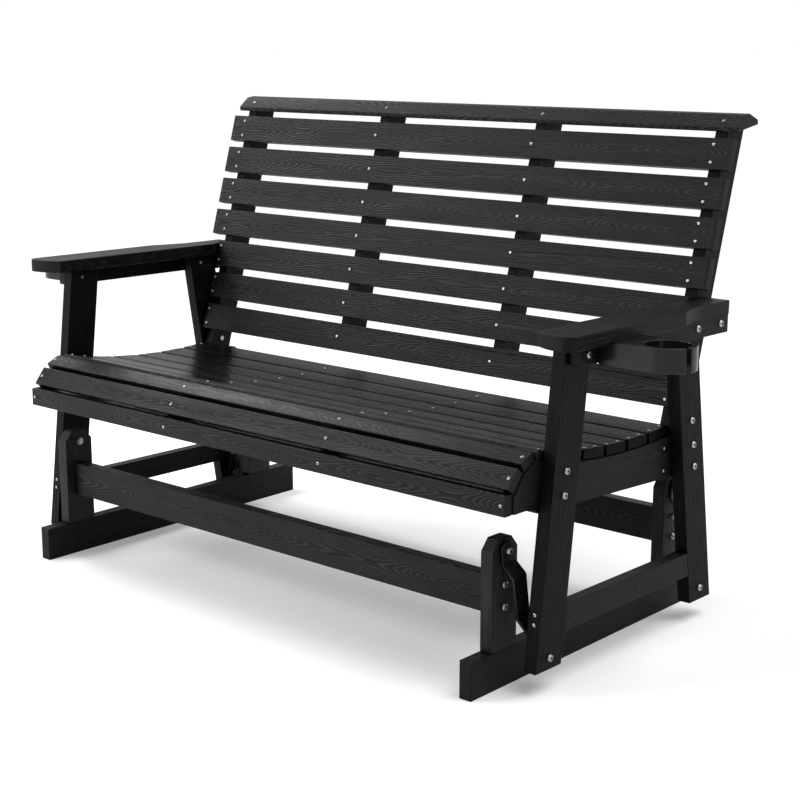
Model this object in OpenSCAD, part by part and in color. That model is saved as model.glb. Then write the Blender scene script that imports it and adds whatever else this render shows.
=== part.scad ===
// Glider bench of plastic lumber boards. X runs along the bench, -Y is the front, Z is up.
// The seat frame hangs from four offset steel links on a standing base.
// Seat frame pieces are drawn in a level frame whose y = 0 lies halfway between the lower
// pivots, and are then set at the place and rake at which the links hold them at rest.

/* [Boards] */
// Thickness of the structural boards
board_t = 25.4; // [22:0.2:28]
// Thickness of the seat and back slats
slat_t = 19; // [16:0.5:22]
// Width of the base boards
board_w = 68; // [60:1:76]
// Running gap left round every fastener shank
hole_gap = 0.1; // [0.05:0.05:0.2]

/* [Base] */
// Width of the base over its side boards
base_w = 1161; // [1000:1:1300]
// Distance between the front and rear post centres
post_span = 525.2; // [480:1:560]
// Length of the floor rail in front of the front post centre
rail_front = 88.6; // [70:1:110]
// Length of the floor rail behind the rear post centre
rail_rear = 112.6; // [80:1:130]
// Height of the posts above the floor
post_top = 265; // [255:1:272]
// Depth of the chamfer on the post top
post_chamfer_y = 17; // [8:1:24]
// Height of the chamfer on the post top
post_chamfer_z = 20; // [8:1:24]
// Height of the cross rail centre above the floor
cross_z = 163; // [140:1:175]

/* [Links] */
// Distance between the pivot centres of a link
link_len = 182.5; // [176:0.5:186]
// Height of the upper pivots above the floor
pivot_top_z = 243; // [238:1:247]
// Distance between the lower pivots of one side
pivot_span = 478.7; // [440:1:515]
// How far the seat hangs behind the middle of the base at rest
rest_back = 5.85; // [0:0.05:12]
// How much higher the rear lower pivot is drilled than the front one
rear_rise = 3.5; // [0:0.5:6]
// Width of the link strip
link_w = 35; // [28:1:38]
// Thickness of the link strip
link_t = 5; // [4:0.5:6]
// Drop from the upper pivot to the start of the first bend
bend_start = 24; // [20:1:28]
// Drop from the upper pivot to the end of the first bend
bend_end = 45; // [40:1:60]
// Outward reach of the first bend
bend_reach = 20; // [12:1:26]
// Drop from the upper pivot to the start of the second bend
second_start = 117; // [105:1:122]
// Drop from the upper pivot to the end of the second bend
second_end = 139; // [128:1:148]
// Radius of the pivot bolts
pivot_r = 5; // [4:0.5:6]
// Radial running clearance of the link eyes on their bolts
eye_gap = 0.08; // [0.05:0.01:0.1]
// Side play of the links between their washers and nuts
side_gap = 0.3; // [0.1:0.1:1]
// Radial clearance of the two open lower eyes at the rear
open_gap = 2.4; // [2:0.1:3]
// Thickness of the washers beside the links
washer_t = 1.5; // [1:0.5:2.5]
// Radius of the washers
washer_r = 11; // [9:0.5:13]

/* [Legs] */
// Distance between the inner faces of the legs
leg_inside = 1257.4; // [1230:1:1300]
// Width of the legs
leg_w = 71.6; // [64:1:78]
// Height of the leg feet above the floor line of the frame
leg_foot = 42; // [36:1:44]
// Rearward lean of the front legs in degrees
front_lean = 6.4; // [3:0.1:9]
// Forward lean of the rear legs in degrees
rear_lean = 9.45; // [6:0.1:12]
// Height of the side stretcher
stretcher_h = 46; // [38:1:54]
// Height of the side stretcher centre
stretcher_z = 121.6; // [110:1:140]

/* [Seat] */
// Width of the wide seat slats
seat_slat_w = 62.4; // [50:0.2:64]
// Distance from one wide slat to the next along the seat curve
seat_pitch = 67.9; // [66:0.1:72]
// Number of wide seat slats
seat_slats = 6; // [6:1:6]
// Width of the apron slat
apron_w = 36; // [30:1:37]
// Width of the lower nose slat
nose_lower_w = 40; // [34:1:41]
// Width of the upper nose slat
nose_upper_w = 33; // [30:1:36]
// Radius of the seat hollow
seat_r = 1340; // [1200:10:1600]
// Height of the lowest point of the seat surface
seat_low_z = 386.6; // [380:1:392]
// Place of the lowest point of the seat surface
seat_low_y = 32; // [20:1:44]
// Centre of the rearmost seat slat
seat_last_y = 119; // [116:1:121]
// End play between the slats and the legs
slat_end_gap = 3.2; // [2:0.2:6]
// Depth of the seat rails below their nose
rail_drop = 12; // [6:0.5:16]
// Underside of the seat rails at their rear end
rail_low_rear = 290; // [286:1:300]
// Rear end of the seat rails
rail_rear_y = 232; // [225:1:240]
// Distance of the middle seat supports and uprights from the centre
mid_x = 207.5; // [150:0.5:260]
// Height of the rear seat board
seat_board_h = 68; // [60:1:70]

/* [Back] */
// Recline of the back in degrees
recline = 16; // [12:0.5:18]
// Place of the slat front plane at the height given next
back_y = 177.85; // [177:0.1:182]
// Height at which the slat front plane is set
back_z = 529.4; // [525:0.1:533]
// Depth of the uprights
upright_d = 55; // [44:1:58]
// Centre of the lowest back slat above the floor
back_low_z = 454; // [448:0.1:458]
// Gap between the back slats
back_gap = 15.3; // [10:0.1:20]
// Number of back slats
back_slats = 7; // [6:1:7]
// Number of upper back slats that reach out over the arms
long_slats = 4; // [4:1:4]
// Half length of the upper back slats and the cap
back_half = 653; // [642:1:670]
// Top of the upper back slat
back_top = 903.4; // [895:0.1:910]
// Height of the cap centre above the top of the upper slat
cap_rise = 16.4; // [14:0.2:24]
// Width of the cap
cap_w = 74; // [66:1:80]
// Height of the cap edges
cap_nose = 9; // [6:0.5:14]
// Width of the flat ridge of the cap
cap_flat = 17; // [8:1:26]
// Upward tilt of the cap towards the rear in degrees
cap_tilt = 9.6; // [4:0.1:14]

/* [Arms] */
// Height of the top of the armrests
arm_top = 616; // [606:1:640]
// Distance from the centre to the inner edge of the armrests
arm_in = 620; // [605:1:622]
// Distance from the centre to the outer edge of the armrests
arm_out = 703; // [696:1:720]
// Front end of the armrests
arm_front = -274; // [-280:1:-268]
// How far the inner front corner of the armrests is set back
arm_setback = 23; // [10:1:26]
// Rear end of the armrests
arm_rear = 254; // [248:1:262]
// Start of the taper at the rear of the armrests
taper_start = 67; // [40:1:90]
// End of the taper at the rear of the armrests
taper_end = 162; // [140:1:175]
// Corner radius of the armrests
arm_corner = 20; // [8:1:24]
// Height of the arm rails
arm_rail_h = 33; // [28:0.2:40]
// Front end of the arm rails
arm_rail_front = -210.6; // [-225:0.2:-200]

/* [Cup holder] */
// Radius of the cup hole
cup_r = 39; // [36:0.5:46]
// Wall round the cup hole
cup_wall = 10.5; // [9:0.5:16]
// Height of the cup holder
cup_h = 41; // [30:1:50]
// Height of the ring above the underside of the armrest
cup_rise = 4.4; // [0:0.2:8]
// Distance from the arm rail to the cup hole centre
cup_reach = 99.5; // [88:0.5:115]
// Place of the cup hole centre along the arm
cup_y = -111.5; // [-116:0.5:-60]
// Width of the slot for a mug handle
cup_slot = 11; // [10:1:26]
// Turn of the slot towards the front in degrees
slot_turn = 14; // [0:1:30]

/* [Fasteners] */
// Radius of the frame bolt heads
bolt_head_r = 6.5; // [5.5:0.5:8]
// Radius of the frame bolt shanks
bolt_r = 3.5; // [3:0.5:4]
// Radius of the slat screw heads
screw_head_r = 3.1; // [2.8:0.1:4.5]
// Radius of the slat screw shanks
screw_r = 2.2; // [1.8:0.1:2.6]
// Depth of a slat screw in the board behind the slat
screw_grip = 14; // [12:1:15]

/* [Hidden] */
$fn = 32;
lumber = "#2d2d2f";
steel = "#c9c9c9";
black_steel = "#1b1b1c";

// Planes across the bench
base_x = base_w/2;
post_in_x = base_x - board_t;
leg_in_x = leg_inside/2;
leg_out_x = leg_in_x + board_t;
rail_in_x = leg_in_x - board_t;
arm_rail_x = leg_out_x + board_t;
slat_half = leg_in_x - slat_end_gap;
end_upright_x = leg_in_x - board_t/2;

// The four-bar linkage at rest
low_y = pivot_span/2;
reach_front = post_span/2 - low_y + rest_back;
reach_rear = low_y + rest_back - post_span/2;
low_z_front = pivot_top_z - sqrt(pow(link_len, 2) - pow(reach_front, 2));
low_z_rear = pivot_top_z - sqrt(pow(link_len, 2) - pow(reach_rear, 2));
swing_front = asin(reach_front/link_len);
swing_rear = asin(reach_rear/link_len);
pivot_z = low_z_front;
rear_pivot_z = pivot_z + rear_rise;
rake = asin((low_z_front - low_z_rear + rear_rise)/pivot_span);

// Link planes across the bench
link_top_x = base_x + washer_t + side_gap;
link_low_x = leg_in_x - washer_t - side_gap - link_t;
link_end = link_w/2;

// Seat curve: [y, z, slope] of the top of each slat, from the nose to the rear
step = seat_pitch/seat_r*180/PI;
last_angle = asin((seat_last_y - seat_low_y)/seat_r);
function on_curve(a) = [seat_low_y + seat_r*sin(a), seat_low_z + seat_r*(1 - cos(a)), a];
on_seat = [for (i = [seat_slats - 2:-1:0]) on_curve(last_angle - i*step)];
// The front slats turn down over the nose of the seat rails, each a step further round
slat_gap = seat_pitch - seat_slat_w;
nose_gap = slat_t*0.185;
fold_gap = slat_t*0.085;
apron_gap = slat_t*0.02;
// The top of the apron reaches this far out under the lower nose slat
apron_out = slat_t*0.26;
function along(a, d) = [d*cos(a), d*sin(a)];
function under(s, d) = [s[0], s[1]] + along(s[2], d) + slat_t*[sin(s[2]), -cos(s[2])];
function next_slat(s, w, gap, new_w, a, out = 0) =
    let (hinge = under(s, -w/2 - gap) + along(s[2] + 90, out), c = hinge - along(a, new_w/2))
    [c[0] - slat_t*sin(a), c[1] + slat_t*cos(a), a];
front_slope = -13;
nose_upper_slope = 26;
nose_lower_slope = 52;
front_wide = next_slat(on_seat[0], seat_slat_w, slat_gap - 1, seat_slat_w, front_slope);
nose_upper = next_slat(front_wide, seat_slat_w, nose_gap, nose_upper_w, nose_upper_slope);
nose_lower = next_slat(nose_upper, nose_upper_w, fold_gap, nose_lower_w, nose_lower_slope);
apron = next_slat(nose_lower, nose_lower_w, apron_gap, apron_w, 90, apron_out);

// The back
front_of_slat = slat_t/cos(recline);
upright_run = upright_d/cos(recline);
function plane_y(z) = back_y + (z - back_z)*tan(recline);
function upright_y(z) = plane_y(z) + front_of_slat;
cap_y = upright_y(back_top + cap_rise) + upright_run/2;
cap_z = back_top + cap_rise;
board_y = 135.7;
board_top = 368;

// Screws: offset of the paired screws from the slat centre
pair = 16.5;
support_x = [-end_upright_x, -mid_x, mid_x, end_upright_x];
bolt_head_h = 3.6;
pivot_head_r = 6.5;
pivot_head_h = 5;
nut_h = 6;

// Bolts in the Y-Z plane of the seat frame
leg_bolts_front = [for (z = [379, 338]) [front_leg_y(z) - 1, z]];
leg_bolts_rear = [for (z = [352, 310]) [rear_leg_y(z) + 2, z]];
upright_bolt = [rear_leg_y(399) + 1.6, 399];
arm_bolt_z = arm_top - board_t - arm_rail_h*0.45;
arm_bolts = [front_leg_y(arm_bolt_z) - 7, rear_leg_y(arm_bolt_z) - 5, arm_rear - 26.6];
// How deep the leg bolts bite into the boards behind the legs
bolt_bite = 8.5;
foot_bolt_depth = 45;
side_rail_bolts = [-20, 20];

// The origin lies under the middle of the whole bench
cap_corner = along(cap_tilt, cap_w/2);
far_y = low_y + cap_y + cap_corner[0];
far_z = cap_z + cap_corner[1] - pivot_z;
back_reach = rest_back - low_y + far_y*cos(rake) + far_z*sin(rake);
front_reach = post_span/2 + rail_front;
cup_x = arm_rail_x + cup_reach;
shift_y = (back_reach - front_reach)/2;

module place() translate([0, -shift_y, 0]) children();

module seat_frame()
    place()
    translate([0, rest_back - low_y, pivot_z]) rotate([-rake, 0, 0])
    translate([0, low_y, -pivot_z]) children();

// A board cut from an outline in the Y-Z plane, from x to x + t
module side_board(x, t = board_t)
    translate([x, 0, 0]) rotate([90, 0, 90]) linear_extrude(t) children();

module side(s) if (s < 0) mirror([1, 0, 0]) children(); else children();

// A hole along X
module cross_hole(y, z, r, x0 = 0, x1 = 2*leg_inside)
    translate([x0, y, z]) rotate([0, 90, 0]) cylinder(h = x1 - x0, r = r);

// A domed head on the plane z = 0 with a hexagon recess
module dome_head(r, h)
    difference() {
        rotate_extrude() polygon([[0, 0], [r, 0], [r, h*0.35], [r*0.85, h*0.8], [r*0.6, h], [0, h]]);
        translate([0, 0, h*0.3]) cylinder(h = h, r = r*0.45, $fn = 6);
    }

// A bolt along X whose head stands on the outer face at x
module cross_bolt(x, y, z, len, r = bolt_r, head_r = bolt_head_r, head_h = bolt_head_h)
    translate([x, y, z]) rotate([0, 90, 0]) {
        dome_head(head_r, head_h);
        translate([0, 0, -len]) cylinder(h = len, r = r);
    }

module slat_screw() {
    dome_head(screw_head_r, screw_head_r*0.5);
    translate([0, 0, -slat_t - screw_grip]) cylinder(h = slat_t + screw_grip, r = screw_r);
}

module slat_hole()
    translate([0, 0, -slat_t - screw_grip - 1])
        cylinder(h = slat_t + screw_grip + 2, r = screw_r + hole_gap);

// Base

module base_rail(s)
    color(lumber) place() side(s) difference() {
        translate([post_in_x, -post_span/2 - rail_front, 0])
            cube([board_t, post_span + rail_front + rail_rear, board_w]);
        foot_bolts(hole_gap, -1);
    }

// Bolts that come up through the floor rail into the foot of each post
module foot_bolts(gap, head)
    for (y = [-post_span/2, post_span/2], dy = side_rail_bolts)
        translate([base_x - board_t/2, y + dy, 0]) {
            cylinder(h = board_w + foot_bolt_depth + gap, r = bolt_r + gap);
            if (head < 0) translate([0, 0, -1]) cylinder(h = bolt_head_h + 2, r = bolt_head_r + gap);
            if (head > 0) translate([0, 0, 0.6]) cylinder(h = bolt_head_h, r = bolt_head_r);
        }

module post(s, y)
    color(lumber) place() side(s) difference() {
        side_board(post_in_x) polygon([
            [y - board_w/2, board_w], [y - board_w/2, post_top - post_chamfer_z],
            [y - board_w/2 + post_chamfer_y, post_top], [y + board_w/2 - post_chamfer_y, post_top],
            [y + board_w/2, post_top - post_chamfer_z], [y + board_w/2, board_w]]);
        foot_bolts(hole_gap, 0);
        cross_hole(y, pivot_top_z, pivot_r + hole_gap);
        for (dz = side_rail_bolts) cross_hole(y, cross_z + dz, bolt_r + hole_gap);
    }

module cross_rail(y)
    color(lumber) place() difference() {
        translate([-post_in_x, y - board_t/2, cross_z - board_w/2])
            cube([2*post_in_x, board_t, board_w]);
        for (s = [-1, 1], dz = side_rail_bolts) side(s)
            cross_hole(y, cross_z + dz, bolt_r + hole_gap, post_in_x - foot_bolt_depth - 1);
    }

module base_bolts()
    color(steel) place() for (s = [-1, 1]) side(s) {
        foot_bolts(0, 1);
        for (y = [-post_span/2, post_span/2], dz = side_rail_bolts)
            cross_bolt(base_x, y, cross_z + dz, board_t + foot_bolt_depth);
    }

// A nut standing on the plane z = 0 round a shank of radius r
module nut(r, h = nut_h) difference() {
    cylinder(h = h, r = r*1.65, $fn = 6);
    translate([0, 0, -1]) cylinder(h = h + 2, r = r + hole_gap);
}

module washer(x, y, z) translate([x, y, z]) rotate([0, 90, 0]) difference() {
    cylinder(h = washer_t, r = washer_r);
    translate([0, 0, -1]) cylinder(h = washer_t + 2, r = pivot_r + hole_gap);
}

module upper_pivots()
    color(steel) place() for (s = [-1, 1], y = [-post_span/2, post_span/2]) side(s) {
        head_x = link_top_x + link_t + side_gap;
        cross_bolt(head_x, y, pivot_top_z, head_x - post_in_x + nut_h + 2,
            pivot_r, pivot_head_r, pivot_head_h);
        washer(base_x, y, pivot_top_z);
        translate([post_in_x - nut_h, y, pivot_top_z]) rotate([0, 90, 0]) nut(pivot_r);
    }

// Links

// The strip is drawn hanging straight down from its upper eye at the origin
module link_strip(low_gap) {
    drop = link_low_x - link_top_x;
    slant = link_t*0.41;
    difference() {
        union() {
            rotate([90, 0, 0]) translate([0, 0, -link_end]) linear_extrude(link_w) polygon([
                [0, 0], [0, -bend_start], [bend_reach, -bend_end], [bend_reach, -second_start],
                [drop, -second_end], [drop, -link_len], [drop + link_t, -link_len],
                [drop + link_t, -second_end + slant], [bend_reach + link_t, -second_start + slant],
                [bend_reach + link_t, -bend_end + slant], [link_t, -bend_start + slant],
                [link_t, 0]]);
            rotate([0, 90, 0]) cylinder(h = link_t, r = link_end);
            translate([drop, 0, -link_len]) rotate([0, 90, 0]) cylinder(h = link_t, r = link_end);
        }
        cross_hole(0, 0, pivot_r + eye_gap, -1, link_t + 1);
        cross_hole(0, -link_len, pivot_r + low_gap, drop - 1, drop + link_t + 1);
    }
}

module link(s, y, swing, low_gap)
    color(black_steel) place() side(s)
        translate([link_top_x, y, pivot_top_z]) rotate([swing, 0, 0])
            link_strip(low_gap);

module front_link(s) link(s, -post_span/2, swing_front, eye_gap);
module rear_link(s) link(s, post_span/2, swing_rear, open_gap);

// Legs and side frame

leg_top = arm_top - board_t;
function front_leg_y(z) = -low_y + (z - pivot_z)*tan(front_lean);
function rear_leg_y(z) = low_y - (z - rear_pivot_z)*tan(rear_lean);
front_half = leg_w/2/cos(front_lean);
rear_half = leg_w/2/cos(rear_lean);
stretcher_screws = [3, 20];

module front_leg_outline() polygon([
    [front_leg_y(leg_foot) - front_half, leg_foot], [front_leg_y(leg_top) - front_half, leg_top],
    [front_leg_y(leg_top) + front_half, leg_top], [front_leg_y(leg_foot) + front_half, leg_foot]]);

module rear_leg_outline() polygon([
    [rear_leg_y(leg_foot) - rear_half, leg_foot], [rear_leg_y(leg_top) - rear_half, leg_top],
    [rear_leg_y(leg_top) + rear_half, leg_top], [rear_leg_y(leg_foot) + rear_half, leg_foot]]);

// Screws through the legs into the ends of the side stretcher
module stretcher_bolt_set(gap) {
    for (dz = stretcher_screws) {
        z = stretcher_z + dz;
        translate([leg_in_x + board_t/2, front_leg_y(z) - front_half, z])
            rotate([90, 0, 0]) stretcher_bolt(gap);
        translate([leg_in_x + board_t/2, rear_leg_y(z) + rear_half, z])
            rotate([-90, 0, 0]) stretcher_bolt(gap);
    }
}

// The head is sunk a little so that it seats in the leaning face
head_sink = 1;
module stretcher_bolt(gap) {
    translate([0, 0, -leg_w - foot_bolt_depth - gap])
        cylinder(h = leg_w + foot_bolt_depth, r = screw_r + gap);
    if (gap > 0) translate([0, 0, -head_sink - gap]) cylinder(h = 10, r = screw_head_r*1.2 + gap);
    else translate([0, 0, -head_sink]) dome_head(screw_head_r*1.2, screw_head_r*0.6);
}

module front_leg(s)
    color(lumber) seat_frame() side(s) difference() {
        side_board(leg_in_x) front_leg_outline();
        cross_hole(-low_y, pivot_z, pivot_r + hole_gap);
        for (b = leg_bolts_front) cross_hole(b[0], b[1], bolt_r + hole_gap);
        cross_hole(arm_bolts[0], arm_bolt_z, bolt_r + hole_gap);
        stretcher_bolt_set(hole_gap);
    }

module rear_leg(s)
    color(lumber) seat_frame() side(s) difference() {
        side_board(leg_in_x) rear_leg_outline();
        cross_hole(low_y, rear_pivot_z, pivot_r + hole_gap);
        for (b = leg_bolts_rear) cross_hole(b[0], b[1], bolt_r + hole_gap);
        cross_hole(upright_bolt[0], upright_bolt[1], bolt_r + hole_gap);
        cross_hole(arm_bolts[1], arm_bolt_z, bolt_r + hole_gap);
        stretcher_bolt_set(hole_gap);
    }

module stretcher(s)
    color(lumber) seat_frame() side(s) difference() {
        low = stretcher_z - stretcher_h/2;
        high = stretcher_z + stretcher_h/2;
        side_board(leg_in_x) polygon([
            [front_leg_y(low) + front_half, low], [front_leg_y(high) + front_half, high],
            [rear_leg_y(high) - rear_half, high], [rear_leg_y(low) - rear_half, low]]);
        stretcher_bolt_set(hole_gap);
    }

// Seat

slats = concat([apron, nose_lower, nose_upper, front_wide], on_seat);
nose_widths = [apron_w, nose_lower_w, nose_upper_w];
function slat_width(i) = i < len(nose_widths) ? nose_widths[i] : seat_slat_w;
seat_edge = [for (i = [0:len(slats) - 1], e = [-1, 1]) under(slats[i], e*slat_width(i)/2)];
rail_front_y = seat_edge[0][0];
last_edge = seat_edge[len(seat_edge) - 1];

rail_nose_z = seat_edge[0][1] + 1;
keel_y = rail_front_y + 75;
keel_run = 34;
keel_z = rail_nose_z - rail_drop;
function rail_low(y) = keel_z + (rail_low_rear - keel_z)*(y - keel_y)/(rail_rear_y - keel_y);

// Outline of a board whose top carries every slat, with the points of its rear end
module seat_rail_outline(rear_end) polygon(concat(
    [[keel_y, keel_z], [keel_y - keel_run, rail_nose_z], [rail_front_y, rail_nose_z]],
    [for (i = [1:len(seat_edge) - 2]) seat_edge[i]], rear_end));

// Screw places of slat i: two at each end and one in the middle supports, or one in each
function seat_screw_y(i, x) = i < 3 || abs(x) < end_upright_x ? [0] : [-pair, pair];

module at_seat_screws(i)
    for (x = support_x, d = seat_screw_y(i, x))
        translate([x, slats[i][0], slats[i][1]]) rotate([slats[i][2], 0, 0])
            translate([0, d, 0]) children();

module seat_slat(i)
    color(lumber) seat_frame() difference() {
        translate([0, slats[i][0], slats[i][1]]) rotate([slats[i][2], 0, 0])
            translate([-slat_half, -slat_width(i)/2, -slat_t])
                cube([2*slat_half, slat_width(i), slat_t]);
        at_seat_screws(i) slat_hole();
    }

module seat_rail(s)
    color(lumber) seat_frame() difference() {
        side(s) difference() {
            side_board(rail_in_x) seat_rail_outline([last_edge, [rail_rear_y, last_edge[1]],
                [rail_rear_y, rail_low(rail_rear_y)]]);
            for (b = concat(leg_bolts_front, leg_bolts_rear))
                cross_hole(b[0], b[1], bolt_r + hole_gap);
            board_screw_set(hole_gap);
        }
        for (i = [0:len(slats) - 1]) at_seat_screws(i) slat_hole();
    }

// The middle supports end at the rear seat board, under the last slat
support_rear_y = board_y - board_t/2;
support_rear_z = last_edge[1] - (last_edge[0] - support_rear_y)*tan(slats[len(slats) - 1][2]);

module seat_support(s)
    color(lumber) seat_frame() difference() {
        side(s) difference() {
            side_board(mid_x - board_t/2)
                seat_rail_outline([[support_rear_y, support_rear_z],
                    [support_rear_y, rail_low(support_rear_y)]]);
            support_screw_set(hole_gap);
        }
        for (i = [0:len(slats) - 1]) at_seat_screws(i) slat_hole();
    }

board_low = board_top - seat_board_h;
board_screws = [board_top - 17, board_low + 9];
// Grip and head height of the screws of the rear seat board
board_grip = 28;
board_head_h = 1.6;

// Screws through the seat rail into the ends of the rear seat board
module board_screw_set(gap)
    for (z = board_screws)
        if (gap > 0) cross_hole(board_y, z, screw_r + gap, rail_in_x - board_grip - 1, leg_in_x + 1);
        else cross_bolt(leg_in_x, board_y, z, board_t + board_grip, screw_r, screw_head_r,
            board_head_h);

// Screws through the rear seat board into the middle supports
module support_screw_set(gap)
    for (z = board_screws) {
        if (gap > 0) translate([mid_x, board_y + board_t/2 + 1, z]) rotate([90, 0, 0])
            cylinder(h = board_t + board_grip + 2, r = screw_r + gap);
        else translate([mid_x, board_y + board_t/2, z]) rotate([-90, 0, 0]) {
            dome_head(screw_head_r, board_head_h);
            translate([0, 0, -board_t - board_grip])
                cylinder(h = board_t + board_grip, r = screw_r);
        }
    }

module seat_board()
    color(lumber) seat_frame() difference() {
        translate([-rail_in_x, board_y - board_t/2, board_low])
            cube([2*rail_in_x, board_t, seat_board_h]);
        for (s = [-1, 1]) side(s) {
            board_screw_set(hole_gap);
            support_screw_set(hole_gap);
        }
        at_seat_screws(len(slats) - 1) slat_hole();
    }

// Back

back_run = (back_top - back_low_z)/cos(recline);
back_pitch = (back_run + back_gap/2)/(back_slats - 0.5);
back_slat_w = back_pitch - back_gap;
function slat_d(k) = (back_top - back_z)/cos(recline) - back_slat_w/2 - k*back_pitch;

module back_frame(d) translate([0, back_y, back_z]) rotate([90 - recline, 0, 0])
    translate([0, d, 0]) children();

// The screws of slat k, with their heads towards the front
module at_back_screws(k)
    for (x = support_x, d = abs(x) < end_upright_x ? [0] : [-pair, pair])
        back_frame(slat_d(k)) translate([x, d, 0]) children();

module back_slat(k)
    color(lumber) seat_frame() difference() {
        half = k < long_slats ? back_half : slat_half;
        back_frame(slat_d(k)) translate([-half, -back_slat_w/2, -slat_t])
            cube([2*half, back_slat_w, slat_t]);
        at_back_screws(k) slat_hole();
    }

// The uprights end under the cap; the outer pair stands on the seat rails and the middle
// pair hangs behind the slats down to the lowest one
module upright_outline(mid) {
    foot = mid ? back_z + (slat_d(back_slats - 1) - back_slat_w/2)*cos(recline) : last_edge[1];
    slope = tan(recline)*tan(cap_tilt);
    front_z = cap_z - upright_run/2*tan(cap_tilt)/(1 - slope);
    rear_z = cap_z + upright_run/2*tan(cap_tilt)/(1 - slope);
    polygon([[upright_y(front_z), front_z], [upright_y(rear_z) + upright_run, rear_z],
        [upright_y(foot) + upright_run, foot], [upright_y(foot), foot]]);
}

module upright(x, mid)
    color(lumber) seat_frame() difference() {
        side_board(x - board_t/2) upright_outline(mid);
        for (k = [0:back_slats - 1]) at_back_screws(k) slat_hole();
        at_cap_screws() slat_hole();
        if (!mid) side(x) {
            cross_hole(upright_bolt[0], upright_bolt[1], bolt_r + hole_gap);
            cross_hole(arm_bolts[2], arm_bolt_z, bolt_r + hole_gap);
        }
    }

// The cap screws sit in the middle of its front bevel
bevel_run = cap_w/2 - cap_flat/2;
bevel_tilt = atan((board_t - cap_nose)/bevel_run);
module at_cap_screws()
    for (x = support_x)
        translate([x, cap_y, cap_z]) rotate([cap_tilt, 0, 0])
            translate([0, -cap_w/2 + bevel_run/2, cap_nose + (board_t - cap_nose)/2])
                rotate([bevel_tilt, 0, 0]) children();

module back_cap()
    color(lumber) seat_frame() difference() {
        translate([0, cap_y, cap_z]) rotate([cap_tilt, 0, 0])
            side_board(-back_half, 2*back_half) polygon([
                [-cap_w/2, 0], [-cap_w/2, cap_nose], [-cap_flat/2, board_t],
                [cap_flat/2, board_t], [cap_w/2, cap_nose], [cap_w/2, 0]]);
        at_cap_screws() slat_hole();
    }

// Arms

arm_low = arm_top - board_t;
arm_rail_low = arm_low - arm_rail_h;
notch_front = plane_y(arm_low) - 2;
corner_steps = 6;
taper_steps = 8;

// The armrest seen from above: a rounded outer front corner, a hollow taper behind it and
// a notch for the short back slats and the upright
module armrest_outline()
    polygon(concat(
        [for (i = [0:corner_steps - 1]) let (t = i/corner_steps)
            [arm_in + (arm_out - arm_corner - arm_in)*t, arm_front + arm_setback*pow(1 - t, 2)]],
        [for (i = [0:corner_steps]) let (a = i*90/corner_steps)
            [arm_out - arm_corner + arm_corner*sin(a), arm_front + arm_corner - arm_corner*cos(a)]],
        [for (i = [0:taper_steps]) let (t = i/taper_steps)
            [arm_rail_x + 1 + (arm_out - arm_rail_x - 1)*pow(1 - t, 1.6),
            taper_start + (taper_end - taper_start)*t]],
        [[arm_rail_x + 1, arm_rear], [leg_in_x + 0.5, arm_rear],
            [leg_in_x + 0.5, notch_front], [arm_in, notch_front]]));

arm_screws = [-160, 0, 90];

// Screws that come up through the arm rail into the armrest
module arm_screw_set(gap)
    for (y = arm_screws) translate([arm_rail_x - board_t/2, y, arm_rail_low]) {
        translate([0, 0, -gap]) cylinder(h = arm_rail_h + 18 + gap, r = screw_r + gap);
        if (gap > 0) translate([0, 0, -1]) cylinder(h = 4 + gap, r = screw_head_r + gap);
        else cylinder(h = 3, r = screw_head_r);
    }

module armrest(s)
    color(lumber) seat_frame() side(s) difference() {
        translate([0, 0, arm_low]) linear_extrude(board_t) armrest_outline();
        arm_screw_set(hole_gap);
        cup_screw_set(hole_gap);
    }

module arm_rail(s)
    color(lumber) seat_frame() side(s) difference() {
        round = 3;
        side_board(leg_out_x) polygon(concat(
            [[arm_rail_front, arm_low]],
            [for (i = [0:4]) let (a = i*90/4)
                [arm_rail_front + round - round*cos(a), arm_rail_low + round - round*sin(a)]],
            [[arm_rear, arm_rail_low], [arm_rear, arm_low]]));
        for (y = arm_bolts) cross_hole(y, arm_bolt_z, bolt_r + hole_gap);
        arm_screw_set(hole_gap);
    }

module arm_spacer(s)
    color(lumber) seat_frame() side(s) difference() {
        front = rear_leg_y(arm_rail_low) + rear_half + 1;
        translate([leg_in_x, front, arm_rail_low]) cube([board_t, arm_rear - front, arm_rail_h]);
        cross_hole(arm_bolts[2], arm_bolt_z, bolt_r + hole_gap);
    }

// Cup holder

cup_out = cup_r + cup_wall;
cup_top = arm_low + cup_rise;
cup_screw_dy = 30;
cup_screw_len = cup_h - cup_rise + 16;

// Screws that come up through the root of the cup holder into the armrest
module cup_screw_set(gap)
    for (dy = [-cup_screw_dy, cup_screw_dy])
        translate([(arm_rail_x + arm_out)/2, cup_y + dy, cup_top - cup_h]) rotate([180, 0, 0]) {
            dome_head(screw_head_r, board_head_h);
            translate([0, 0, -cup_screw_len - gap])
                cylinder(h = cup_screw_len + gap, r = screw_r + gap);
        }

// The ring stands a little above its root, which lies under the armrest
module cup_holder(s)
    color(lumber) seat_frame() side(s) difference() {
        translate([cup_x, cup_y, cup_top - cup_h]) union() {
            cylinder(h = cup_h, r = cup_out, $fn = 64);
            translate([-cup_reach, -cup_out, 0])
                cube([cup_reach, 2*cup_out, cup_h - cup_rise]);
            translate([arm_out + 0.5 - cup_x, -cup_out, 0])
                cube([cup_x - arm_out - 0.5, 2*cup_out, cup_h]);
        }
        translate([cup_x, cup_y, cup_top - cup_h - 1]) cylinder(h = cup_h + 2, r = cup_r, $fn = 64);
        translate([cup_x, cup_y, cup_top - cup_h - 1]) rotate([0, 0, -slot_turn])
            translate([0, -cup_slot/2, 0]) cube([cup_out + 1, cup_slot, cup_h + 2]);
        cup_screw_set(hole_gap);
    }

// Fasteners of the seat frame

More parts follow.
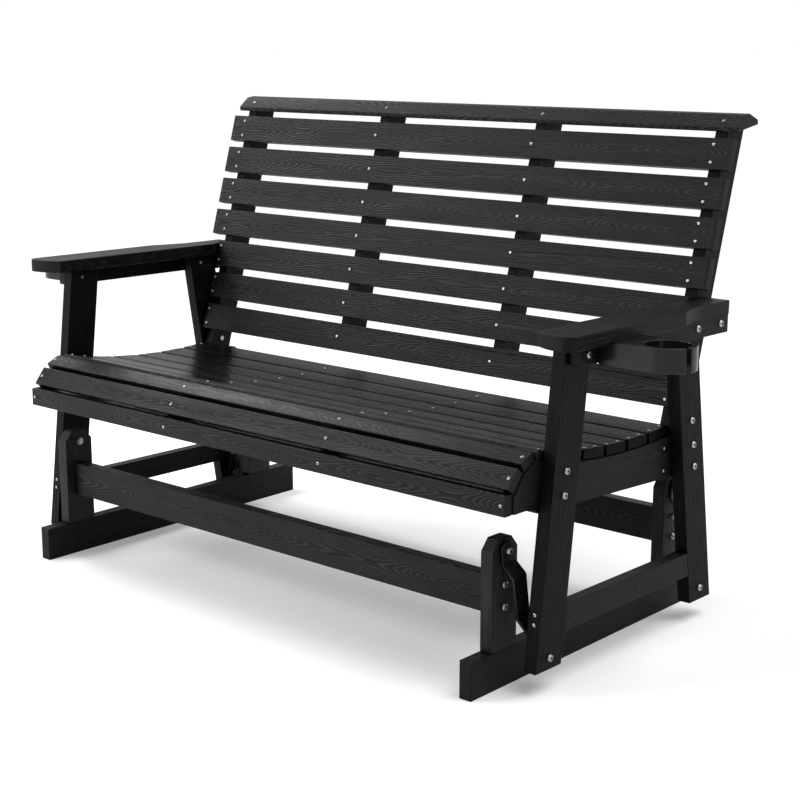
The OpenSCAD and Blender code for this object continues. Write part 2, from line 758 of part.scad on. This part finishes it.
module lower_pivot(y, z) {
    cross_bolt(leg_out_x, y, z, leg_out_x - link_low_x + nut_h + 2,
        pivot_r, pivot_head_r, pivot_head_h);
    washer(leg_in_x - washer_t, y, z);
    translate([link_low_x - side_gap - nut_h, y, z]) rotate([0, 90, 0]) nut(pivot_r);
}

module lower_pivots()
    color(steel) seat_frame() for (s = [-1, 1]) side(s) {
        lower_pivot(-low_y, pivot_z);
        lower_pivot(low_y, rear_pivot_z);
    }

module frame_bolts()
    color(steel) seat_frame() {
        for (s = [-1, 1]) side(s) {
            for (b = concat(leg_bolts_front, leg_bolts_rear))
                cross_bolt(leg_out_x, b[0], b[1], board_t + bolt_bite);
            cross_bolt(leg_out_x, upright_bolt[0], upright_bolt[1], 2*board_t + nut_h/2);
            translate([rail_in_x - nut_h/2, upright_bolt[0], upright_bolt[1]])
                rotate([0, 90, 0]) nut(bolt_r, nut_h/2);
            for (y = arm_bolts)
                cross_bolt(arm_rail_x, y, arm_bolt_z, y == arm_bolts[2] ? 3*board_t : 2*board_t);
            stretcher_bolt_set(0);
            board_screw_set(0);
            support_screw_set(0);
            arm_screw_set(0);
            cup_screw_set(0);
        }
    }

module seat_screws()
    color(steel) seat_frame() for (i = [0:len(slats) - 1]) at_seat_screws(i) slat_screw();

module back_screws()
    color(steel) seat_frame() {
        for (k = [0:back_slats - 1]) at_back_screws(k) slat_screw();
        at_cap_screws() slat_screw();
    }

base_rail(-1);  // base_rail_left
base_rail(1);  // base_rail_right
post(-1, -post_span/2);  // post_front_left
post(1, -post_span/2);  // post_front_right
post(-1, post_span/2);  // post_rear_left
post(1, post_span/2);  // post_rear_right
cross_rail(-post_span/2);  // cross_rail_front
cross_rail(post_span/2);  // cross_rail_rear
base_bolts();
upper_pivots();
front_link(-1);  // link_front_left
front_link(1);  // link_front_right
rear_link(-1);  // link_rear_left
rear_link(1);  // link_rear_right
front_leg(-1);  // front_leg_left
front_leg(1);  // front_leg_right
rear_leg(-1);  // rear_leg_left
rear_leg(1);  // rear_leg_right
stretcher(-1);  // stretcher_left
stretcher(1);  // stretcher_right
seat_rail(-1);  // seat_rail_left
seat_rail(1);  // seat_rail_right
seat_support(-1);  // seat_support_left
seat_support(1);  // seat_support_right
seat_board();
seat_slat(0);  // apron_slat
seat_slat(1);  // nose_slat_lower
seat_slat(2);  // nose_slat_upper
seat_slat(3);  // seat_slat_1
seat_slat(4);  // seat_slat_2
seat_slat(5);  // seat_slat_3
seat_slat(6);  // seat_slat_4
seat_slat(7);  // seat_slat_5
seat_slat(8);  // seat_slat_6
upright(-end_upright_x, false);  // upright_left
upright(-mid_x, true);  // upright_mid_left
upright(mid_x, true);  // upright_mid_right
upright(end_upright_x, false);  // upright_right
back_slat(0);  // back_slat_1
back_slat(1);  // back_slat_2
back_slat(2);  // back_slat_3
back_slat(3);  // back_slat_4
back_slat(4);  // back_slat_5
back_slat(5);  // back_slat_6
back_slat(6);  // back_slat_7
back_cap();
arm_rail(-1);  // arm_rail_left
arm_rail(1);  // arm_rail_right
arm_spacer(-1);  // arm_spacer_left
arm_spacer(1);  // arm_spacer_right
armrest(-1);  // armrest_left
armrest(1);  // armrest_right
cup_holder(-1);  // cup_holder_left
cup_holder(1);  // cup_holder_right
lower_pivots();
frame_bolts();
seat_screws();
back_screws();
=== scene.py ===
import math

import bpy
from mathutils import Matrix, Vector


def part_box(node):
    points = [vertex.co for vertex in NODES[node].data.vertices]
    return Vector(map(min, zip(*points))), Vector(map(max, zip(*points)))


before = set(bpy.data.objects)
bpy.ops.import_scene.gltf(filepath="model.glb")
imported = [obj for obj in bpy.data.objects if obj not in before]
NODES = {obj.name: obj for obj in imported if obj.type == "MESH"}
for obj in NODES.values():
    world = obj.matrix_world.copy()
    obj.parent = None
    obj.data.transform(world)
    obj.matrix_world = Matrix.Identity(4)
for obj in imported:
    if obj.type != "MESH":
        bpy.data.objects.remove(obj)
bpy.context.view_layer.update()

# Camera, solved from the photograph. Positions are in metres in the row frame.
CAMERA_AT = (2.1568, -2.3500, 1.0821)
CAMERA_YAW = -0.7188
CAMERA_PITCH = -0.2210
FOCAL_PX = 1630.10
IMAGE_PX = 800
SENSOR_MM = 36.0

# Grey of the black plastic boards before its grain lightens and darkens it
LUMBER_BASE = 0.0052

# Half the width of a board, in metres, over which its growth rings spread
GRAIN_HALF = 0.031

# Noise scales across, across and along a board, in features per metre
RING_DRIFT = (4.0, 4.0, 4.2)
RING_WANDER = (60.0, 60.0, 9.0)
FIBRES = (700.0, 700.0, 16.0)
PORES = (330.0, 330.0, 10.0)
FAINT_PATCHES = (9.0, 9.0, 4.0)

# Depth of the embossed grain, and the reach of the shade painted into gaps and recesses, in metres
GRAIN_DEPTH = 0.0013
GAP_SHADE = 0.020
RECESS_SHADE = 0.003

# Width of the rounded board edges and of the finer edges of links and cup holders, in metres
BOARD_EDGE = 0.0016
FINE_EDGE = 0.0010

# Studio: glow of the floor in the camera's eye, soft sky, sun
FLOOR_SIZE = 60.0
FLOOR_WHITE = (0.90, 0.90, 0.90, 1.0)
FLOOR_GLOW = 0.25
SKY_LIGHT = 0.20
SUN_STRENGTH = 2.2
SUN_ANGLE = math.radians(48)
SUN_TURN = (math.radians(-10), math.radians(20), 0.0)
WHITE = (1.0, 1.0, 1.0, 1.0)


# ---- small helpers for node trees

def new_material(name):
    mat = bpy.data.materials.new(name)
    mat.use_nodes = True
    tree = mat.node_tree
    shader = tree.nodes["Principled BSDF"]
    return mat, tree, shader


def add(tree, kind, **values):
    """A node with its properties set, and its inputs where a value's name is an input's."""
    node = tree.nodes.new(kind)
    for key, value in values.items():
        if hasattr(node, key):
            setattr(node, key, value)
        else:
            node.inputs[key.replace("_", " ")].default_value = value
    return node


def math_node(tree, operation, a, b=None, third=None):
    """A Math node whose inputs are numbers or the outputs of other nodes."""
    node = add(tree, "ShaderNodeMath", operation=operation)
    for socket, value in zip(node.inputs, (a, b, third)):
        if value is None:
            continue
        if isinstance(value, (int, float)):
            socket.default_value = value
        else:
            tree.links.new(value, socket)
    return node.outputs[0]


def ramp(tree, source, stops):
    """A colour ramp through greys, from (place, grey) stops."""
    node = tree.nodes.new("ShaderNodeValToRGB")
    node.color_ramp.elements.remove(node.color_ramp.elements[1])
    for i, (place, grey) in enumerate(stops):
        element = node.color_ramp.elements[0] if i == 0 else node.color_ramp.elements.new(place)
        element.position = place
        element.color = (grey, grey, grey, 1.0)
    tree.links.new(source, node.inputs[0])
    return node.outputs[0]


# ---- materials

def seeded_noise(tree, space, scale, detail, roughness=0.5, seed=None):
    """Noise whose features are 1/scale metres long in each direction."""
    mapping = add(tree, "ShaderNodeMapping", vector_type="POINT")
    mapping.inputs["Scale"].default_value = scale
    tree.links.new(space, mapping.inputs["Vector"])
    noise = add(tree, "ShaderNodeTexNoise", noise_dimensions="4D")
    noise.inputs["Scale"].default_value = 1.0
    noise.inputs["Detail"].default_value = detail
    noise.inputs["Roughness"].default_value = roughness
    tree.links.new(mapping.outputs["Vector"], noise.inputs["Vector"])
    if seed is not None:
        tree.links.new(seed, noise.inputs["W"])
    return noise.outputs["Fac"]


def own_value(tree, name, output="Fac"):
    """A custom property of the object that carries the material."""
    node = add(tree, "ShaderNodeAttribute", attribute_type="OBJECT", attribute_name=name)
    return node.outputs[output]


def grain_space(tree, turn):
    """Coordinates from the middle of the board, turned so that Z runs along it."""
    coords = add(tree, "ShaderNodeTexCoord").outputs["Object"]
    centred = add(tree, "ShaderNodeVectorMath", operation="SUBTRACT")
    tree.links.new(coords, centred.inputs[0])
    tree.links.new(own_value(tree, "grain_mid", "Vector"), centred.inputs[1])
    mapping = add(tree, "ShaderNodeMapping", vector_type="TEXTURE")
    mapping.inputs["Rotation"].default_value = turn
    tree.links.new(centred.outputs[0], mapping.inputs["Vector"])
    return mapping.outputs["Vector"]


def ring_lines(tree, space, seed, rings, sweep):
    """Embossed growth rings: ovals and arrowheads along the middle, straight lines beside them."""
    split = add(tree, "ShaderNodeSeparateXYZ")
    tree.links.new(space, split.inputs[0])
    x_squared = math_node(tree, "MULTIPLY", split.outputs[0], split.outputs[0])
    y_squared = math_node(tree, "MULTIPLY", split.outputs[1], split.outputs[1])
    across = math_node(tree, "SQRT", math_node(tree, "ADD", x_squared, y_squared))
    across = math_node(tree, "DIVIDE", across, GRAIN_HALF)
    across = math_node(tree, "POWER", across, 1.15)
    bowl = math_node(tree, "MULTIPLY", across, rings)
    along = seeded_noise(tree, space, RING_DRIFT, 0.0, 0.5, seed)
    wander = seeded_noise(tree, space, RING_WANDER, 2.0, 0.55, seed)
    field = math_node(tree, "ADD", bowl, math_node(tree, "MULTIPLY", along, sweep))
    field = math_node(tree, "ADD", field, math_node(tree, "MULTIPLY", wander, 1.3))
    wave = math_node(tree, "SINE", math_node(tree, "MULTIPLY", field, math.tau))
    return math_node(tree, "MULTIPLY_ADD", wave, 0.5, third=0.5)


def crevice_shade(tree, distance, low, high):
    """Factor of the shade painted into colours: 0 deep in gaps and corners, 1 in the open."""
    corners = add(tree, "ShaderNodeAmbientOcclusion", samples=6)
    corners.inputs["Distance"].default_value = distance
    return ramp(tree, corners.outputs["AO"], ((low, 0.02), (high, 1.0)))


def product(tree, a, b):
    """Two colours multiplied."""
    node = add(tree, "ShaderNodeVectorMath", operation="MULTIPLY")
    tree.links.new(a, node.inputs[0])
    tree.links.new(b, node.inputs[1])
    return node.outputs[0]


def lumber(name, turn, rings=9.0, sweep=24.0, base=LUMBER_BASE, carved=0.65, gloss=0.0, shine=0.10):
    """Black plastic board with wood grain along it.

    rings: growth rings from its middle to its edge; sweep: how far they open into ovals
    carved: how strongly the rings show; gloss: how much smoother it is; shine: specular level
    """
    mat, tree, shader = new_material(name)
    space = grain_space(tree, turn)
    seed = own_value(tree, "grain_seed")

    lines = ramp(tree, ring_lines(tree, space, seed, rings, sweep),
                 ((0.0, 0.0), (0.40, 0.65), (0.70, 1.0)))
    fibre = seeded_noise(tree, space, FIBRES, 3.0, 0.6, seed)
    pores = ramp(tree, seeded_noise(tree, space, PORES, 2.0, 0.5, seed),
                 ((0.42, 0.0), (0.50, 1.0)))
    patches = ramp(tree, seeded_noise(tree, space, FAINT_PATCHES, 1.0, 0.5, seed),
                   ((0.38, 0.45), (0.60, 1.0)))
    cut = math_node(tree, "MULTIPLY", math_node(tree, "SUBTRACT", 1.0, lines), patches)
    cut = math_node(tree, "MULTIPLY", cut, carved)

    raised = math_node(tree, "ADD", math_node(tree, "MULTIPLY", fibre, 0.40),
                       math_node(tree, "MULTIPLY", pores, 0.25))
    height = math_node(tree, "ADD", math_node(tree, "MULTIPLY", cut, -0.9), raised)
    bump = add(tree, "ShaderNodeBump", Strength=0.9 - gloss * 3.0, Distance=GRAIN_DEPTH)
    tree.links.new(height, bump.inputs["Height"])
    tree.links.new(bump.outputs["Normal"], shader.inputs["Normal"])

    # Boards whose rings show less keep their mean tone
    even = 0.20 * (1.0 - carved)
    tone = math_node(tree, "ADD", math_node(tree, "MULTIPLY", cut, 0.62),
                     math_node(tree, "MULTIPLY_ADD", fibre, 0.62, third=even))
    greys = ((0.15, base * 0.40), (0.40, base * 1.0), (0.85, base * 6.0))
    # Painted shade: the board's colour is darkened in the gaps and corners between boards
    colour = product(tree, ramp(tree, tone, greys), crevice_shade(tree, GAP_SHADE, 0.30, 0.80))
    tree.links.new(colour, shader.inputs["Base Color"])

    mixed = math_node(tree, "ADD", math_node(tree, "MULTIPLY", fibre, 0.6),
                      math_node(tree, "MULTIPLY", cut, 0.4))
    rough = ramp(tree, mixed, ((0.1, 0.40 - gloss), (0.9, 0.62 - gloss)))
    tree.links.new(rough, shader.inputs["Roughness"])
    shader.inputs["Specular IOR Level"].default_value = shine
    return mat


def moulded(name, base=0.0055):
    """Smooth moulded black plastic with a faint pebble."""
    mat, tree, shader = new_material(name)
    coords = add(tree, "ShaderNodeTexCoord").outputs["Object"]
    pebble = seeded_noise(tree, coords, (420.0, 420.0, 420.0), 2.0)
    cloud = seeded_noise(tree, coords, (16.0, 16.0, 16.0), 2.0)
    bump = add(tree, "ShaderNodeBump", Strength=0.12, Distance=0.0003)
    tree.links.new(pebble, bump.inputs["Height"])
    tree.links.new(bump.outputs["Normal"], shader.inputs["Normal"])
    colour = ramp(tree, cloud, ((0.25, base * 0.8), (0.75, base * 1.25)))
    tree.links.new(colour, shader.inputs["Base Color"])
    rough = ramp(tree, cloud, ((0.2, 0.20), (0.8, 0.28)))
    tree.links.new(rough, shader.inputs["Roughness"])
    shader.inputs["Specular IOR Level"].default_value = 0.28
    return mat


def metal(name, base, metallic, rough_low, rough_high, specular=0.5, painted_recess_shade=False):
    """Steel whose colour and gloss vary a little; painted_recess_shade darkens its colour in recesses
    and corners with painted shade.
    """
    mat, tree, shader = new_material(name)
    coords = add(tree, "ShaderNodeTexCoord").outputs["Object"]
    cloud = seeded_noise(tree, coords, (90.0, 90.0, 90.0), 3.0)
    fine = seeded_noise(tree, coords, (1500.0, 1500.0, 1500.0), 1.0)
    colour = ramp(tree, cloud, ((0.2, base * 0.85), (0.8, base * 1.1)))
    # Painted shade: the steel's colour is darkened in screw recesses and corners
    if painted_recess_shade:
        colour = product(tree, colour, crevice_shade(tree, RECESS_SHADE, 0.30, 0.80))
    tree.links.new(colour, shader.inputs["Base Color"])
    rough = ramp(tree, cloud, ((0.2, rough_low), (0.8, rough_high)))
    tree.links.new(rough, shader.inputs["Roughness"])
    bump = add(tree, "ShaderNodeBump", Strength=0.08, Distance=0.0002)
    tree.links.new(fine, bump.inputs["Height"])
    tree.links.new(bump.outputs["Normal"], shader.inputs["Normal"])
    shader.inputs["Metallic"].default_value = metallic
    shader.inputs["Specular IOR Level"].default_value = specular
    return mat


# Turns that bring local Z onto a board's length
ALONG_X = (0.0, math.radians(90), 0.0)
ALONG_Y = (math.radians(90), 0.0, 0.0)
UPRIGHT = (0.0, 0.0, 0.0)
FRONT_LEAN = (math.radians(-6.4), 0.0, 0.0)
REAR_LEAN = (math.radians(9.45), 0.0, 0.0)
RECLINE = (math.radians(-16.0), 0.0, 0.0)

# Painted shade: darker greys of the same plastic for the boards that the light leaves darker in the
# photograph
PAINTED_SHADE_GREY = LUMBER_BASE * 0.70
PAINTED_SHADE_GREY_DARKER = LUMBER_BASE * 0.56
PAINTED_SHADE_GREY_DARKEST = LUMBER_BASE * 0.45

# Painted shade: a slightly darker grey of the same plastic for the back and cross boards
BOARDS_X = lumber("lumber_x", ALONG_X, base=LUMBER_BASE * 0.92)
BOARDS_NOSE = lumber("lumber_nose", ALONG_X, carved=0.5, gloss=0.10)
BOARDS_SEAT = lumber("lumber_seat", ALONG_X, 7.0, 3.0, PAINTED_SHADE_GREY_DARKEST, 0.5, gloss=0.20, shine=0.02)
BOARDS_Y = lumber("lumber_y", ALONG_Y, 8.0, 14.0, PAINTED_SHADE_GREY_DARKER, 0.4, shine=0.085)
BOARDS_Z = lumber("lumber_post", UPRIGHT, 7.0, 2.0, LUMBER_BASE, 0.2, shine=0.12)
BOARDS_FRONT = lumber("lumber_front_leg", FRONT_LEAN, 7.0, 1.5, PAINTED_SHADE_GREY_DARKEST, 0.2, shine=0.05)
BOARDS_REAR = lumber("lumber_rear_leg", REAR_LEAN, 7.0, 1.5, PAINTED_SHADE_GREY_DARKEST, 0.2, shine=0.05)
BOARDS_BACK = lumber("lumber_upright", RECLINE, 7.0, 1.5, PAINTED_SHADE_GREY, 0.2, shine=0.05)
CUP_PLASTIC = moulded("moulded_plastic")
STAINLESS = metal("stainless_steel", 0.32, 1.0, 0.26, 0.40, painted_recess_shade=True)
BLACK_STEEL = metal("black_steel", 0.004, 0.0, 0.22, 0.34, specular=0.3)

# The start of a node's name and its material: the first that fits counts
GRAIN_OF = (
    ("cross_rail", BOARDS_X), ("seat_board", BOARDS_X), ("apron", BOARDS_X),
    ("nose_slat", BOARDS_NOSE), ("seat_slat_1", BOARDS_NOSE), ("seat_slat", BOARDS_SEAT),
    ("back_slat", BOARDS_X), ("back_cap", BOARDS_X),
    ("base_rail", BOARDS_Y), ("stretcher", BOARDS_Y), ("seat_rail", BOARDS_Y),
    ("seat_support", BOARDS_Y), ("arm", BOARDS_Y), ("post", BOARDS_Z),
    ("front_leg", BOARDS_FRONT), ("rear_leg", BOARDS_REAR), ("upright", BOARDS_BACK),
    ("cup_holder", CUP_PLASTIC), ("link", BLACK_STEEL), ("", STAINLESS),
)


def paint(obj, mat):
    obj.data.materials.clear()
    obj.data.materials.append(mat)


def soften(obj, width):
    """Rounds the edges without touching the stored mesh."""
    weld = obj.modifiers.new("weld", "WELD")
    weld.merge_threshold = 0.00002
    flat = obj.modifiers.new("flat", "DECIMATE")
    flat.decimate_type = "DISSOLVE"
    flat.angle_limit = math.radians(0.6)
    bevel = obj.modifiers.new("edge", "BEVEL")
    bevel.width = width
    bevel.segments = 3
    bevel.limit_method = "ANGLE"
    bevel.angle_limit = math.radians(33)
    bevel.use_clamp_overlap = False
    shading = obj.modifiers.new("shading", "WEIGHTED_NORMAL")
    shading.weight = 100


for index, (node_name, obj) in enumerate(sorted(NODES.items())):
    mat = next(m for start, m in GRAIN_OF if node_name.startswith(start))
    paint(obj, mat)
    # Where the grain is centred, and a number of its own that shifts its noise
    low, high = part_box(node_name)
    obj["grain_mid"] = [(a + b) / 2 for a, b in zip(low, high)]
    obj["grain_seed"] = 1.7 + 2.31 * index
    if mat is not STAINLESS:
        soften(obj, FINE_EDGE if mat in (BLACK_STEEL, CUP_PLASTIC) else BOARD_EDGE)


# ---- floor, light and camera

def white_rays(tree):
    """1 for the rays that show the studio as white: the camera's, and gloss and glass."""
    path = add(tree, "ShaderNodeLightPath")
    seen = math_node(tree, "MAXIMUM", path.outputs["Is Camera Ray"], path.outputs["Is Glossy Ray"])
    return math_node(tree, "MAXIMUM", seen, path.outputs["Is Transmission Ray"])


def build_floor():
    bpy.ops.mesh.primitive_plane_add(size=FLOOR_SIZE, location=(0.0, 0.0, 0.0))
    floor = bpy.context.object
    floor.name = "studio_floor"
    mat, tree, shader = new_material("studio_floor")
    shader.inputs["Base Color"].default_value = FLOOR_WHITE
    shader.inputs["Roughness"].default_value = 0.9
    shader.inputs["Specular IOR Level"].default_value = 0.0
    glow = add(tree, "ShaderNodeEmission", Strength=FLOOR_GLOW)
    both = add(tree, "ShaderNodeAddShader")
    seen = add(tree, "ShaderNodeMixShader")
    tree.links.new(shader.outputs[0], both.inputs[0])
    tree.links.new(glow.outputs[0], both.inputs[1])
    tree.links.new(white_rays(tree), seen.inputs[0])
    tree.links.new(shader.outputs[0], seen.inputs[1])
    tree.links.new(both.outputs[0], seen.inputs[2])
    tree.links.new(seen.outputs[0], tree.nodes["Material Output"].inputs["Surface"])
    floor.data.materials.append(mat)


def build_world():
    world = bpy.data.worlds.new("studio")
    bpy.context.scene.world = world
    world.use_nodes = True
    tree = world.node_tree
    tree.nodes.clear()
    white = add(tree, "ShaderNodeBackground", Strength=1.0)
    white.inputs["Color"].default_value = WHITE
    soft = add(tree, "ShaderNodeBackground", Strength=SKY_LIGHT)
    soft.inputs["Color"].default_value = WHITE
    mix = add(tree, "ShaderNodeMixShader")
    tree.links.new(white_rays(tree), mix.inputs[0])
    tree.links.new(soft.outputs[0], mix.inputs[1])
    tree.links.new(white.outputs[0], mix.inputs[2])
    out = add(tree, "ShaderNodeOutputWorld")
    tree.links.new(mix.outputs[0], out.inputs[0])


def area_light(name, place, target, size, power):
    data = bpy.data.lights.new(name, "AREA")
    data.shape = "RECTANGLE"
    data.size, data.size_y = size
    data.energy = power
    lamp = bpy.data.objects.new(name, data)
    bpy.context.scene.collection.objects.link(lamp)
    lamp.location = place
    aim = Vector(target) - Vector(place)
    lamp.rotation_euler = aim.to_track_quat("-Z", "Y").to_euler()


def build_lights():
    sun = bpy.data.lights.new("overhead", "SUN")
    sun.energy = SUN_STRENGTH
    sun.angle = SUN_ANGLE
    lamp = bpy.data.objects.new("overhead", sun)
    bpy.context.scene.collection.objects.link(lamp)
    lamp.rotation_euler = SUN_TURN
    area_light("front_left", (-2.0, -2.6, 1.5), (0.0, 0.0, 0.5), (1.8, 1.8), 85.0)
    area_light("upper_left", (-1.8, 0.1, 2.1), (-0.5, 0.1, 0.8), (0.9, 0.9), 26.0)


def build_camera():
    data = bpy.data.cameras.new("photo_camera")
    data.sensor_width = SENSOR_MM
    data.lens = SENSOR_MM * FOCAL_PX / IMAGE_PX
    data.clip_end = 100.0
    camera = bpy.data.objects.new("photo_camera", data)
    bpy.context.scene.collection.objects.link(camera)
    camera.location = CAMERA_AT
    flat = math.cos(CAMERA_PITCH)
    forward = Vector((math.sin(CAMERA_YAW) * flat, math.cos(CAMERA_YAW) * flat, math.sin(CAMERA_PITCH)))
    camera.rotation_euler = forward.to_track_quat("-Z", "Y").to_euler()
    bpy.context.scene.camera = camera


build_floor()
build_world()
build_lights()
build_camera()

bpy.context.scene.view_settings.view_transform = "Standard"
